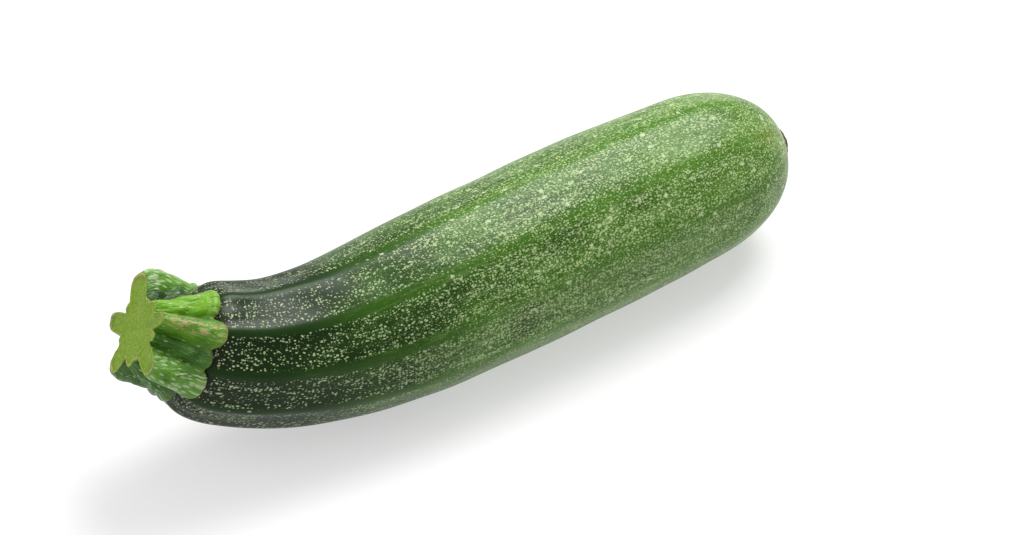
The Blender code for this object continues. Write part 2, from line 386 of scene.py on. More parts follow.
class Recipe:
    """A material's node tree, written one step at a time."""

    def __init__(self, name: str) -> None:
        """Start a material with only its shader and output.

        Args:
            name: The material's name.
        """
        self.material = bpy.data.materials.new(name)
        self.material.use_nodes = True
        self.tree = self.material.node_tree
        self.shader = self.tree.nodes["Principled BSDF"]

    def _feed(self, socket: bpy.types.NodeSocket, value: Socket) -> None:
        """Link a socket, or set its value.

        Args:
            socket: The input.
            value: Another node's output, or a number, vector or colour.
        """
        if isinstance(value, bpy.types.NodeSocket):
            self.tree.links.new(value, socket)
        elif socket.type == "RGBA":
            socket.default_value = (*value, 1.0)
        else:
            socket.default_value = value

    def _node(self, kind: str, inputs: dict[Union[int, str], Socket],
              **options: str) -> bpy.types.Node:
        """Add a node.

        Args:
            kind: Its type.
            inputs: What its inputs take, by their names or places.
            options: Its settings.

        Returns:
            The node.
        """
        node = self.tree.nodes.new(kind)
        for option, setting in options.items():
            setattr(node, option, setting)
        for name, value in inputs.items():
            self._feed(node.inputs[name], value)
        return node

    def trace(self, trace: Trace) -> Socket:
        """Read one of the piece's traces."""
        node = self._node("ShaderNodeAttribute", {}, attribute_name=trace.value)
        return node.outputs["Vector" if trace is Trace.PLACE else "Fac"]

    def place(self) -> Socket:
        """Read the place on the grown surface, in millimetres."""
        return self.scaled(self.trace(Trace.PLACE), MILLIMETRES)

    def scaled(self, vector: Socket, factors: Triple, shift: Triple = NO_SHIFT) -> Socket:
        """Scale and shift a vector along each of its axes."""
        inputs = {0: vector, 1: factors, 2: shift}
        return self._node("ShaderNodeVectorMath", inputs, operation="MULTIPLY_ADD").outputs[0]

    def maths(self, operation: str, first: Socket, second: Socket) -> Socket:
        """One step of arithmetic."""
        return self._node("ShaderNodeMath", {0: first, 1: second}, operation=operation).outputs[0]

    def sum(self, *values: Socket) -> Socket:
        """Add values."""
        return reduce(partial(self.maths, "ADD"), values)

    def times(self, *values: Socket) -> Socket:
        """Multiply values."""
        return reduce(partial(self.maths, "MULTIPLY"), values)

    def highest(self, *values: Socket) -> Socket:
        """The highest of some values."""
        return reduce(partial(self.maths, "MAXIMUM"), values)

    def without(self, value: Socket) -> Socket:
        """What is left of one when a value is taken from it."""
        return self.maths("SUBTRACT", 1.0, value)

    def swing(self, noise: Socket, amount: float) -> Socket:
        """Turn a noise around a half into an amount to either side of nought."""
        return self.times(self.maths("SUBTRACT", noise, 0.5), amount)

    def ramp(self, value: Socket, start: Socket, end: Socket,
             low: Socket = 0.0, high: Socket = 1.0) -> Socket:
        """Carry a value from one range to another, smoothly and without going past it."""
        inputs = dict(zip(("Value", "From Min", "From Max", "To Min", "To Max"),
                          (value, start, end, low, high)))
        return self._node("ShaderNodeMapRange", inputs, interpolation_type="SMOOTHSTEP").outputs[0]

    def fade(self, value: Socket, fade: Fade) -> Socket:
        """Carry a value through a named change."""
        return self.ramp(value, fade.start, fade.end, fade.low, fade.high)

    def noise(self, place: Socket, grain: Grain) -> Socket:
        """Soft noise around a half."""
        vector = self.scaled(place, (grain.along, grain.across, grain.across), grain.shift)
        return self._node("ShaderNodeTexNoise", {
            "Vector": vector, "Scale": 1.0, "Detail": grain.detail,
            "Roughness": grain.roughness}).outputs["Fac"]

    def cells(self, place: Socket, scale: float, scatter: float) -> tuple[Socket, Socket]:
        """Scatter cells over a piece.

        Args:
            place: Where the pattern is read.
            scale: Cells to a unit of the place.
            scatter: How unevenly they lie.

        Returns:
            The distance to the nearest cell's centre, in cells, and its random value.
        """
        node = self._node("ShaderNodeTexVoronoi", {
            "Vector": place, "Scale": scale, "Randomness": scatter})
        split = self._node("ShaderNodeSeparateColor", {"Color": node.outputs["Color"]})
        return node.outputs["Distance"], split.outputs["Red"]

    def specks(self, place: Socket, kind: Specks, size: Socket, share: Socket) -> Socket:
        """Put specks in some of the scattered cells.

        Args:
            place: The place on the surface, in millimetres.
            kind: The specks' cells and edges.
            size: Radius of a speck, in cells.
            share: The share of cells that hold a speck, from nought to one.

        Returns:
            One on a speck, nought off it.
        """
        vector = self.scaled(place, (kind.narrow, 1.0, 1.0), kind.shift)
        distance, random = self.cells(vector, kind.scale, SPECK_SCATTER)
        edge = self.ramp(self.maths("SUBTRACT", size, distance), 0.0, kind.softness)
        held = self.ramp(random, self.maths("SUBTRACT", share, HELD_EDGE),
                         self.sum(share, HELD_EDGE), 1.0, 0.0)
        return self.times(edge, held)

    def blend(self, amount: Socket, under: Socket, over: Socket) -> Socket:
        """Lay one colour over another by an amount."""
        inputs = {"Factor": amount, MIX_UNDER: under, MIX_OVER: over}
        return self._node("ShaderNodeMix", inputs, data_type="RGBA").outputs[MIX_RESULT]

    def layers(self, base: Socket, *layers: tuple[Socket, Socket]) -> Socket:
        """Lay colours over a base, one after another.

        Args:
            base: The colour under them all.
            layers: For each layer its amount and its colour.

        Returns:
            The colour that shows.
        """
        for amount, colour in layers:
            base = self.blend(amount, base, colour)
        return base

    def bump(self, height: Socket, strength: float, depth: float) -> Socket:
        """Raise the surface by a height."""
        inputs = {"Strength": strength, "Distance": depth, "Height": height}
        return self._node("ShaderNodeBump", inputs).outputs["Normal"]

    def shade(self, **sockets: Socket) -> bpy.types.Material:
        """Feed the shader.

        Args:
            sockets: What each of its inputs takes, with _ for a space in the input's name.

        Returns:
            The finished material.
        """
        for name, value in sockets.items():
            self._feed(self.shader.inputs[name.replace("_", " ")], value)
        return self.material


# --- Finishes -------------------------------------------------------------------------------

@dataclass(frozen=True)
class SkinPattern:
    """What the steps of the skin's recipe read."""

    place: Socket
    along: Socket
    crest: Socket
    off_neck: Socket
    at_blossom: Socket
    bare: Socket
    patches: Socket
    streaks: Socket
    grain: Socket


@dataclass(frozen=True)
class SkinFinish:
    """The fruit's waxy skin: dark at the neck, lighter to the blossom, with pale specks."""

    neck: Colour = (0.006, 0.019, 0.003)
    shoulder: Colour = (0.012, 0.014, 0.008)
    body: Colour = (0.024, 0.080, 0.004)
    blossom: Colour = (0.050, 0.150, 0.005)
    stripe_neck: Colour = (0.010, 0.034, 0.004)
    stripe_body: Colour = (0.050, 0.155, 0.004)
    speck_neck: Colour = (0.370, 0.480, 0.240)
    speck_body: Colour = (0.385, 0.505, 0.225)
    spot: Colour = (0.540, 0.620, 0.380)
    frost: Colour = (0.200, 0.310, 0.110)
    sunned: Colour = (0.190, 0.165, 0.015)

    wander: Grain = Grain(0.030, 0.075)
    wander_amount: float = 0.34
    patches: Grain = Grain(0.055, 0.085, (7.0, 3.0, 1.0), 4.0, 0.55)
    streaks: Grain = Grain(0.06, 1.15, roughness=0.6)
    rows: Grain = Grain(0.075, 0.62, (2.0, 9.0, 4.0), 2.0)
    grain: Grain = Grain(1.9, 1.9, roughness=0.65)

    neck_ends: Fade = Fade(0.12, 0.52)
    blossom_starts: Fade = Fade(0.48, 0.92)
    shoulder_ends: Fade = Fade(0.09, 0.0)
    light_patch: Fade = Fade(0.42, 0.72, 0.0, 0.60)
    dark_patch: Fade = Fade(0.55, 0.28, 0.0, 0.55)
    stripe_edge: Fade = Fade(0.74, 0.95)
    stripe_fades: Fade = Fade(0.15, 0.60, 0.80, 0.45)
    light_streak: Fade = Fade(0.52, 0.66, 0.0, 0.34)
    dark_streak: Fade = Fade(0.46, 0.34, 0.0, 0.40)
    sunned_starts: Fade = Fade(0.88, 0.99)
    sunned_patch: Fade = Fade(0.46, 0.62, 0.0, 0.45)
    bare_edge: Fade = Fade(0.84, 0.97)
    bare_fades: Fade = Fade(0.50, 0.18, 0.16, 0.75)
    frost_grain: Fade = Fade(0.50, 0.64)
    frost_patch: Fade = Fade(0.25, 0.70, 0.18, 0.52)

    row_edge: Span = (0.34, 0.62)
    row_gain: float = 1.08
    between_rows: Fade = Fade(0.20, 0.60, 0.70, 0.88)
    faint: Specks = Specks(0.70, 2.60, 0.18, 0.40, (31.0, 17.0, 5.0))
    faint_radius: float = 0.46
    faint_share: Fade = Fade(0.0, 1.0, 0.16, 0.90)
    fine: Specks = Specks(0.62, 1.90, 0.14, 0.80)
    fine_radius: float = 0.40
    fine_share: Fade = Fade(0.0, 1.0, 0.55, 0.90)
    medium: Specks = Specks(0.60, 1.45, 0.12, 0.85, (11.0, 23.0, 3.0))
    medium_radius: float = 0.38
    medium_share: Fade = Fade(0.05, 0.70, 0.28, 0.72)
    spots: Specks = Specks(0.60, 0.40, 0.11, 0.72, (5.0, 2.0, 19.0))
    spot_radius: Fade = Fade(0.10, 0.80, 0.15, 0.24)
    spot_share: Fade = Fade(0.10, 0.80, 0.22, 0.62)
    spot_raggedness: Fade = Fade(0.34, 0.66, 0.55, 1.40)

    roughness: float = 0.36
    speck_roughness: float = 0.10
    grain_roughness: float = 0.16
    coat: float = 0.10
    coat_roughness: float = 0.18
    coat_ior: float = 1.4
    ior: float = 1.21
    speck_height: float = 0.40
    grain_height: float = 0.6
    streak_height: float = 0.4
    relief_strength: float = 0.35
    relief_depth: float = 0.00015

    def pattern(self, r: Recipe) -> SkinPattern:
        """Read where the skin changes.

        Args:
            r: The skin's recipe.

        Returns:
            The patterns that its steps share.
        """
        place, along, crest = r.place(), r.trace(Trace.ALONG), r.trace(Trace.CREST)
        ripe = r.sum(along, r.swing(r.noise(place, self.wander), self.wander_amount))
        bare_crest = r.times(r.fade(crest, self.bare_edge), r.fade(along, self.bare_fades))
        return SkinPattern(
            place, along, crest, off_neck=r.fade(ripe, self.neck_ends),
            at_blossom=r.fade(ripe, self.blossom_starts), bare=r.without(bare_crest),
            patches=r.noise(place, self.patches), streaks=r.noise(place, self.streaks),
            grain=r.noise(place, self.grain))

    def ground(self, r: Recipe, p: SkinPattern) -> Socket:
        """Colour the skin under its specks.

        Args:
            r: The skin's recipe.
            p: The patterns that it reads.

        Returns:
            The colour.
        """
        stripe = r.times(r.fade(p.crest, self.stripe_edge), r.fade(p.along, self.stripe_fades))
        stripe_colour = r.blend(p.off_neck, self.stripe_neck, self.stripe_body)
        sunned = r.times(r.fade(p.along, self.sunned_starts), r.fade(p.patches, self.sunned_patch))
        frosted = r.times(r.fade(p.grain, self.frost_grain), p.off_neck, p.bare,
                          r.fade(p.patches, self.frost_patch))
        return r.layers(
            self.neck,
            (p.off_neck, self.body),
            (p.at_blossom, self.blossom),
            (r.fade(p.along, self.shoulder_ends), self.shoulder),
            (r.times(r.fade(p.patches, self.light_patch), p.off_neck), self.blossom),
            (r.fade(p.patches, self.dark_patch), self.neck),
            (stripe, stripe_colour),
            (r.times(r.fade(p.streaks, self.light_streak), p.off_neck), self.frost),
            (r.times(r.fade(p.streaks, self.dark_streak), p.off_neck), stripe_colour),
            (sunned, self.sunned),
            (frosted, self.frost))

    def speckle(self, r: Recipe, p: SkinPattern, ground: Socket) -> tuple[Socket, Socket]:
        """Scatter the specks, in rows, and the few large spots.

        Args:
            r: The skin's recipe.
            p: The patterns that it reads.
            ground: The colour under them.

        Returns:
            The colour that shows, and one on the clear specks.
        """
        row = r.ramp(r.noise(p.place, self.rows), *self.row_edge,
                     r.fade(p.along, self.between_rows), self.row_gain)
        spread = r.times(row, p.bare)
        faint = r.specks(p.place, self.faint, r.times(spread, self.faint_radius),
                         r.fade(p.off_neck, self.faint_share))
        fine = r.specks(p.place, self.fine, r.times(spread, self.fine_radius),
                        r.fade(p.off_neck, self.fine_share))
        medium = r.specks(p.place, self.medium, r.times(spread, self.medium_radius),
                          r.fade(p.along, self.medium_share))
        ragged = r.fade(p.grain, self.spot_raggedness)
        spots = r.specks(p.place, self.spots, r.times(ragged, r.fade(p.along, self.spot_radius)),
                         r.fade(p.along, self.spot_share))
        speck = r.blend(p.off_neck, self.speck_neck, self.speck_body)
        colour = r.layers(
            ground,
            (r.times(faint, self.faint.strength), speck),
            (r.times(fine, self.fine.strength), speck),
            (r.times(medium, self.medium.strength), speck),
            (r.times(spots, self.spots.strength), self.spot))
        return colour, r.highest(fine, medium, spots)

    def material(self) -> bpy.types.Material:
        """Write the skin's nodes.

        Returns:
            The material.
        """
        r = Recipe("skin")
        p = self.pattern(r)
        colour, pale = self.speckle(r, p, self.ground(r, p))
        rough = r.sum(self.roughness, r.times(pale, self.speck_roughness),
                      r.swing(p.grain, self.grain_roughness))
        height = r.sum(r.times(pale, self.speck_height), r.times(p.grain, self.grain_height),
                       r.times(p.streaks, self.streak_height))
        relief = r.bump(height, self.relief_strength, self.relief_depth)
        return r.shade(Base_Color=colour, Roughness=rough, Normal=relief, IOR=self.ior,
                       Coat_Weight=self.coat, Coat_Roughness=self.coat_roughness,
                       Coat_IOR=self.coat_ior)


@dataclass(frozen=True)
class StemPattern:
    """What the steps of the stem's recipe read."""

    place: Socket
    traces: dict[Trace, Socket]
    cloud: Socket
    uneven: Socket
    fibre: Socket
    grain: Socket
    frosting: Socket
    warming: Socket
    corky: Socket


@dataclass(frozen=True)
class StemFinish:
    """The stem: green ribs with pale dashes and corky edges, painted shade in the grooves, and a
    matte moist cut.
    """

    # groove: the stem's darkest green, partly its own colour and partly painted shade in the
    # grooves between the ribs
    groove: Colour = (0.007, 0.034, 0.002)
    deep: Colour = (0.028, 0.105, 0.004)
    fresh: Colour = (0.115, 0.315, 0.004)
    lime: Colour = (0.155, 0.355, 0.006)
    dash: Colour = (0.440, 0.540, 0.320)
    cut: Colour = (0.215, 0.345, 0.010)
    cut_shade: Colour = (0.125, 0.260, 0.005)
    fleck: Colour = (0.500, 0.510, 0.130)
    rim: Colour = (0.460, 0.470, 0.140)
    cork: Colour = (0.400, 0.320, 0.130)
    bruise: Colour = (0.085, 0.085, 0.014)

    cloud: Grain = Grain(0.16, 0.30)
    cloud_amount: float = 0.8
    fibre: Grain = Grain(0.22, 1.7, roughness=0.6)
    bark: Grain = Grain(0.45, 1.3, (1.0, 4.0, 2.0), roughness=0.65)
    grain: Grain = Grain(1.3, 1.3, detail=4.0, roughness=0.62)
    tear: Grain = Grain(0.9, 0.9, detail=2.0)

    deep_crest: Fade = Fade(0.10, 0.70)
    fresh_warmth: Fade = Fade(0.10, 0.80)
    fresh_crest: Fade = Fade(0.25, 0.90)
    lime_warmth: Fade = Fade(0.60, 1.20)
    lime_crest: Fade = Fade(0.70, 1.00)
    light_fibre: Fade = Fade(0.50, 0.68, 0.0, 0.30)
    dark_fibre: Fade = Fade(0.46, 0.32, 0.0, 0.45)
    dashes: Specks = Specks(0.45, 1.25, 0.16, 0.62, (3.0, 5.0, 8.0))
    dash_radius: Fade = Fade(0.10, 1.00, 0.22, 0.50)
    dash_share: float = 0.75
    wide_dashes: Specks = Specks(0.425, 0.496, 0.22, 0.62, (16.25, 2.5, 7.5))
    wide_radius: Fade = Fade(0.30, 1.10, 0.12, 0.52)
    wide_share: float = 0.70
    frosted: Fade = Fade(0.75, 1.25, 0.0, 0.42)
    cork_bark: Fade = Fade(0.58, 0.66)
    cork_crest: Fade = Fade(0.84, 1.00)
    cork_starts: Fade = Fade(0.15, 0.60)
    cork_spread: float = 0.10
    cork_strength: float = 0.70
    toe_least: float = 0.06
    toe_cork: float = 0.40

    cut_grain: Fade = Fade(0.36, 0.66)
    flecks: Specks = Specks(1.0, 1.6, 0.16, 0.50, (9.0, 1.0, 7.0))
    fleck_radius: float = 0.40
    fleck_share: float = 0.42
    fleck_cloud: Fade = Fade(0.40, 0.66, 0.0, 0.10)
    bruised_tip: Fade = Fade(0.80, 1.02, 0.0, 0.70)
    bruise_amount: float = 0.5
    rim_edge: Fade = Fade(0.30, 0.85)
    rim_tear: Fade = Fade(0.36, 0.56, 0.15, 1.0)
    rim_strength: float = 0.70

    roughness: float = 0.34
    cut_roughness: float = 0.28
    fibre_roughness: float = 0.2
    ior: float = 1.40
    fibre_height: float = 1.3
    cork_height: float = 0.4
    rim_height: float = 0.5
    side_grain_height: float = 0.30
    cut_grain_height: float = 0.75
    relief_strength: float = 0.75
    relief_depth: float = 0.00050

    def pattern(self, r: Recipe) -> StemPattern:
        """Read where the stem changes.

        Args:
            r: The stem's recipe.

        Returns:
            The patterns that its steps share.
        """
        place = r.place()
        traces = {trace: r.trace(trace) for trace in Trace if trace is not Trace.PLACE}
        cloud = r.noise(place, self.cloud)
        uneven = r.swing(cloud, self.cloud_amount)
        cork = traces[Trace.CORK]
        bark = r.sum(r.noise(place, self.bark), r.times(cork, self.cork_spread))
        corky = r.times(r.fade(bark, self.cork_bark), r.fade(cork, self.cork_starts),
                        r.fade(traces[Trace.CREST], self.cork_crest))
        return StemPattern(
            place, traces, cloud, uneven, fibre=r.noise(place, self.fibre),
            grain=r.noise(place, self.grain), frosting=r.sum(traces[Trace.FROST], uneven),
            warming=r.sum(traces[Trace.WARMTH], uneven), corky=corky)

    def side_colour(self, r: Recipe, p: StemPattern) -> Socket:
        """Colour the ribs and grooves, with painted shade in the grooves.

        Args:
            r: The stem's recipe.
            p: The patterns that it reads.

        Returns:
            The colour.
        """
        crest = p.traces[Trace.CREST]
        # how far the deep green covers the painted groove shade, rising from the grooves to the
        # crests
        deep = r.fade(r.sum(crest, p.uneven), self.deep_crest)
        fresh = r.times(r.fade(p.warming, self.fresh_warmth), r.fade(crest, self.fresh_crest))
        lime = r.times(r.fade(p.warming, self.lime_warmth), r.fade(crest, self.lime_crest))
        dashes = r.specks(p.place, self.dashes, r.fade(p.frosting, self.dash_radius),
                          self.dash_share)
        wide = r.specks(p.place, self.wide_dashes, r.fade(p.frosting, self.wide_radius),
                        self.wide_share)
        toe = r.sum(self.toe_least, r.times(p.traces[Trace.CORK], self.toe_cork))
        # the grooves keep the darkest colour as painted shade; deep, fresh and lime greens cover it
        # towards the crests
        return r.layers(
            self.groove,
            (deep, self.deep),
            (fresh, self.fresh),
            (lime, self.lime),
            (r.fade(p.fibre, self.light_fibre), self.fresh),
            (r.fade(p.fibre, self.dark_fibre), self.groove),
            (r.times(r.highest(dashes, wide), self.dashes.strength), self.dash),
            (r.fade(p.frosting, self.frosted), self.dash),
            (r.times(p.corky, self.cork_strength), self.cork),
            (r.times(p.traces[Trace.TOE], toe), self.cork))

    def cut_colour(self, r: Recipe, p: StemPattern) -> Socket:
        """Colour the cut face.

        Args:
            r: The stem's recipe.
            p: The patterns that it reads.

        Returns:
            The colour.
        """
        flecks = r.specks(p.place, self.flecks, self.fleck_radius, self.fleck_share)
        tips = r.sum(p.traces[Trace.ALONG], r.swing(p.grain, self.bruise_amount))
        return r.layers(
            self.cut_shade,
            (r.fade(p.grain, self.cut_grain), self.cut),
            (r.times(flecks, self.flecks.strength), self.fleck),
            (r.fade(tips, self.bruised_tip), self.bruise),
            (r.fade(p.cloud, self.fleck_cloud), self.fleck))

    def material(self) -> bpy.types.Material:
        """Write the stem's nodes.

        Returns:
            The material.
        """
        r = Recipe("stem")
        p = self.pattern(r)
        cut = p.traces[Trace.CUT]
        torn = r.times(r.fade(p.traces[Trace.RIM], self.rim_edge),
                       r.fade(r.noise(p.place, self.tear), self.rim_tear))
        colour = r.layers(
            self.side_colour(r, p),
            (cut, self.cut_colour(r, p)),
            (r.times(torn, self.rim_strength), self.rim))
        rough = r.sum(self.roughness, r.times(cut, self.cut_roughness),
                      r.swing(p.fibre, self.fibre_roughness))
        grain_height = r.sum(self.side_grain_height, r.times(cut, self.cut_grain_height))
        height = r.sum(r.times(p.fibre, r.without(cut), self.fibre_height),
                       r.times(p.corky, self.cork_height), r.times(p.grain, grain_height),
                       r.times(torn, self.rim_height))
        relief = r.bump(height, self.relief_strength, self.relief_depth)
        return r.shade(Base_Color=colour, Roughness=rough, Normal=relief, IOR=self.ior)


@dataclass(frozen=True)
class ScarFinish:
    """The dry corky scar where the flower dropped off."""

    dark: Colour = (0.040, 0.026, 0.012)
    light: Colour = (0.190, 0.130, 0.060)
    grain: Grain = Grain(1.6, 1.6, detail=4.0, roughness=0.65)
    crumbs: float = 2.4             # cells to a millimetre
    crumb_scatter: float = 1.0
    light_grain: Fade = Fade(0.36, 0.68)
    dark_crumb: Fade = Fade(0.45, 0.15, 0.0, 0.5)
    roughness: float = 0.82
    grain_roughness: float = 0.2
    crumb_height: float = 0.6
    relief_strength: float = 0.7
    relief_depth: float = 0.0004

    def material(self) -> bpy.types.Material:
        """Write the scar's nodes.

        Returns:
            The material.
        """
        r = Recipe("scar")
        place = r.place()
        grain = r.noise(place, self.grain)
        distance, _ = r.cells(place, self.crumbs, self.crumb_scatter)
        colour = r.layers(
            self.dark,
            (r.fade(grain, self.light_grain), self.light),
            (r.fade(distance, self.dark_crumb), self.dark))
        height = r.sum(grain, r.times(distance, self.crumb_height))
        rough = r.sum(self.roughness, r.swing(grain, self.grain_roughness))
        relief = r.bump(height, self.relief_strength, self.relief_depth)
        return r.shade(Base_Color=colour, Roughness=rough, Normal=relief)


@dataclass(frozen=True)
class FloorFinish:
    """Plain pale matte paper with a faint light behind it."""

    colour: Colour = (0.41, 0.41, 0.41)
    light: Colour = (1.0, 1.0, 1.0)
    glow: float = 0.52
    roughness: float = 0.9
    shine: float = 0.0

    def material(self) -> bpy.types.Material:
        """Write the floor's one shader."""
        return Recipe("floor").shade(
            Base_Color=self.colour, Roughness=self.roughness, Specular_IOR_Level=self.shine,
            Emission_Color=self.light, Emission_Strength=self.glow)


# --- The fruit ------------------------------------------------------------------------------

@dataclass
class Fruit:
    """The body of the courgette, from its shoulder under the stem to the blossom tip."""

    line: GrowthLine
    finish: SkinFinish = SkinFinish()
    shoulder_radius: float = 0.0160
    neck_radius: float = 0.0175
    waist_radius: float = 0.0220
    belly_radius: float = 0.0223
    blossom_radius: float = 0.0209
    shoulder_rounding: float = 0.0120
    blossom_rounding: float = 0.0290
    shoulder_bluntness: float = 3.0
    blossom_bluntness: float = 2.12
    neck_station: float = 0.0227
    waist_station: float = 0.0762
    belly_station: float = 0.1228
    blossom_station: float = 0.1622
    ridges: int = 10
    ridge_height_neck: float = 0.0010
    ridge_height_body: float = 0.0004
    ridge_fade: float = 0.071
    facets: int = 5
    facet_height: float = 0.0005
    ridge_sharpness: float = 2.4
    sharp_start: float = 0.004      # how far from the shoulder's tip they are fully sharp
    unevenness: float = 0.00016
    even_ends: float = 0.02         # how far from each tip the unevenness is full
    waves: tuple[Wave, ...] = (
        Wave(1, 9.0, 0.4, 0.5), Wave(2, -14.0, 1.9, 0.4), Wave(3, 21.0, 4.1, 0.35),
        Wave(5, 33.0, 0.9, 0.3), Wave(10, 17.0, 2.6, 0.3), Wave(7, -47.0, 5.0, 0.25),
        Wave(10, -61.0, 3.3, 0.22))
    slope_step: float = 1e-5
    walk_places: int = 2001
    walk_stretch: float = 1.15      # how much longer the skin is than its middle line
    segments: int = 200
    rings: int = 118
    smoothing: int = 1

    def body_radius(self, distance: Array) -> Array:
        """Mean radius of the fruit, its two ends rounded in.

        Args:
            distance: Places on the middle line.

        Returns:
            The radius at each place.
        """
        length = self.line.length
        stations = (0.0, self.neck_station, self.waist_station, self.belly_station,
                    self.blossom_station, length)
        radii = (self.shoulder_radius, self.neck_radius, self.waist_radius,
                 self.belly_radius, self.blossom_radius, self.blossom_radius)
        shoulder = rounded_end(distance / self.shoulder_rounding, self.shoulder_bluntness)
        blossom = rounded_end((length - distance) / self.blossom_rounding, self.blossom_bluntness)
        return smooth_profile(distance, stations, radii) * shoulder * blossom

    def crest(self, angle: Array) -> Array:
        """One on a ridge, nought in the groove between two ridges."""
        return 0.5 + 0.5 * np.cos(self.ridges * (angle + math.pi / 2))

    def radius(self, distance: Array, angle: Array) -> Array:
        """Radius of the fruit with its ridges and soft facets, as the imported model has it.

        Args:
            distance: Places on the middle line.
            angle: Angle round it.

        Returns:
            The radius at each place and angle.
        """
        height = self.ridge_height_body
        height = height + (self.ridge_height_neck - height) * ease_out(distance / self.ridge_fade)
        relief = height * (self.crest(angle) - 0.5)
        relief = relief - self.facet_height / 2 * np.cos(self.facets * (angle + math.pi / 2))
        shoulder = np.clip(distance / self.shoulder_rounding, 0.0, 1.0)
        blossom = np.clip((self.line.length - distance) / self.blossom_rounding, 0.0, 1.0)
        return self.body_radius(distance) + relief * shoulder * blossom

    def fine_relief(self, distance: Array, angle: Array) -> Array:
        """What the fine surface adds: sharper ridges at the neck, and unevenness.

        Args:
            distance: Places on the middle line.
            angle: Angle round it.

        Returns:
            The height to add to the radius.
        """
        crest, neck = self.crest(angle), ease_out(distance / self.ridge_fade)
        sharper = self.ridge_height_neck * neck * (crest**self.ridge_sharpness - crest)
        bumps = undulation(angle, distance / self.line.length, self.waves)
        from_tips = np.minimum(distance, self.line.length - distance)
        return (sharper * stretch(distance, 0.0, self.sharp_start)
                + self.unevenness * bumps * stretch(from_tips, 0.0, self.even_ends))

    def skin_layer(self, distance: Array, angle: Array, outward: Array) -> Array:
        """Find points of a layer over the skin.

        Args:
            distance: Places on the middle line.
            angle: Angle round it.
            outward: How far out from the skin the layer lies.

        Returns:
            The layer's points.
        """
        radius = self.radius(distance, angle)
        back = np.clip(distance - self.slope_step, 0.0, self.line.length)
        ahead = np.clip(distance + self.slope_step, 0.0, self.line.length)
        slope = (self.radius(ahead, angle) - self.radius(back, angle)) / (ahead - back)
        along, _, _ = self.line.axes(distance)
        lift = outward / np.sqrt(1.0 + slope**2)
        point = self.line.ring_point(distance, angle, radius + lift)
        return point - along * (lift * slope)[..., None]

    def distance_at(self, latitude: Array) -> Array:
        """Distance along the middle line for a latitude of the sphere."""
        return self.line.length * (1 - np.cos(math.pi * latitude)) / 2

    def surface(self, latitude: Array, angle: Array) -> Array:
        """Find points of the skin.

        Args:
            latitude: Share of the way round from the shoulder's tip to the blossom tip.
            angle: Angle round the middle line.

        Returns:
            The points.
        """
        distance = self.distance_at(latitude)
        radius = self.radius(distance, angle) + self.fine_relief(distance, angle)
        return self.line.ring_point(distance, angle, radius)

    def walked(self, distance: Array) -> Array:
        """Share of the way over the skin from the shoulder's tip to a place.

        Args:
            distance: Places on the middle line.

        Returns:
            The share at each place, nought at the shoulder and one at the blossom tip.
        """
        places = self.distance_at(np.linspace(0.0, 1.0, self.walk_places))
        steps = np.hypot(np.diff(places), np.diff(self.body_radius(places)))
        walked = np.concatenate([[0.0], np.cumsum(steps)])
        return np.interp(distance, places, walked / walked[-1])

    def build(self, shift: Array) -> bpy.types.Object:
        """Make the fruit's piece.

        Args:
            shift: How far the growth line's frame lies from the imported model's.

        Returns:
            The finished object.
        """
        grown = GrownMesh("courgette_fruit", self.segments, self.rings, self.smoothing)
        grown.mould(self.surface, shift)
        distance = self.distance_at(grown.latitude)
        radius = self.body_radius(distance)
        place = np.stack([self.walked(distance) * self.line.length * self.walk_stretch,
                          radius * np.cos(grown.angle), radius * np.sin(grown.angle)], -1)
        traces = {Trace.PLACE: place, Trace.ALONG: distance / self.line.length,
                  Trace.CREST: self.crest(grown.angle)}
        return grown.finish(self.walked(distance), traces, self.finish.material(), Slot.SKIN,
                            "fruit")


# --- The stem -------------------------------------------------------------------------------

@dataclass(frozen=True)
class Rib:
    """One rib of the stem. Angles are in degrees and lengths in metres."""

    face_angle: float
    face_reach: float
    foot_angle: float
    foot_depth: float
    half_width: float
    thickness: float
    swell: float
    frost: float = 0.3
    warmth: float = 0.4
    cork: float = 0.1


STEM_RIBS = (
    Rib(31, 0.0143, 33, 0.0034, 27, 0.0012, 0.0014, frost=1.0, warmth=0.65),
    Rib(97, 0.0092, 98, 0.0038, 18, 0.0024, 0.0, frost=0.35, warmth=1.0),
    Rib(124, 0.0122, 130, 0.0056, 14, 0.0018, 0.0004, frost=0.15, warmth=0.58, cork=1.0),
    Rib(150, 0.0092, 153, 0.0038, 12, 0.0014, 0.0, frost=0.35, warmth=0.1),
    Rib(183, 0.0148, 180, 0.0042, 19, 0.0020, 0.0006, frost=0.85, warmth=0.5),
    Rib(236, 0.0090, 224, 0.0018, 15, 0.0014, 0.0003, frost=0.5, warmth=0.1),
    Rib(272, 0.0142, 264, 0.0021, 18, 0.0015, 0.0003, frost=0.6, warmth=0.1),
    Rib(297, 0.0083, 295, 0.0018, 12, 0.0012, 0.0, frost=0.4, warmth=0.1),
    Rib(326, 0.0148, 326, 0.0038, 17, 0.0014, 0.0008, frost=0.5, warmth=0.4, cork=0.3),
    Rib(355, 0.0086, 359, 0.0032, 13, 0.0012, 0.0, frost=0.4, warmth=0.3),
)


@dataclass
class RibField:
    """What the ribs say at places round the stem, blended where they meet."""

    reach: Array
    depth: Array
    thickness: Array
    swell: Array
    stand: Array
    frost: Array
    warmth: Array
    cork: Array


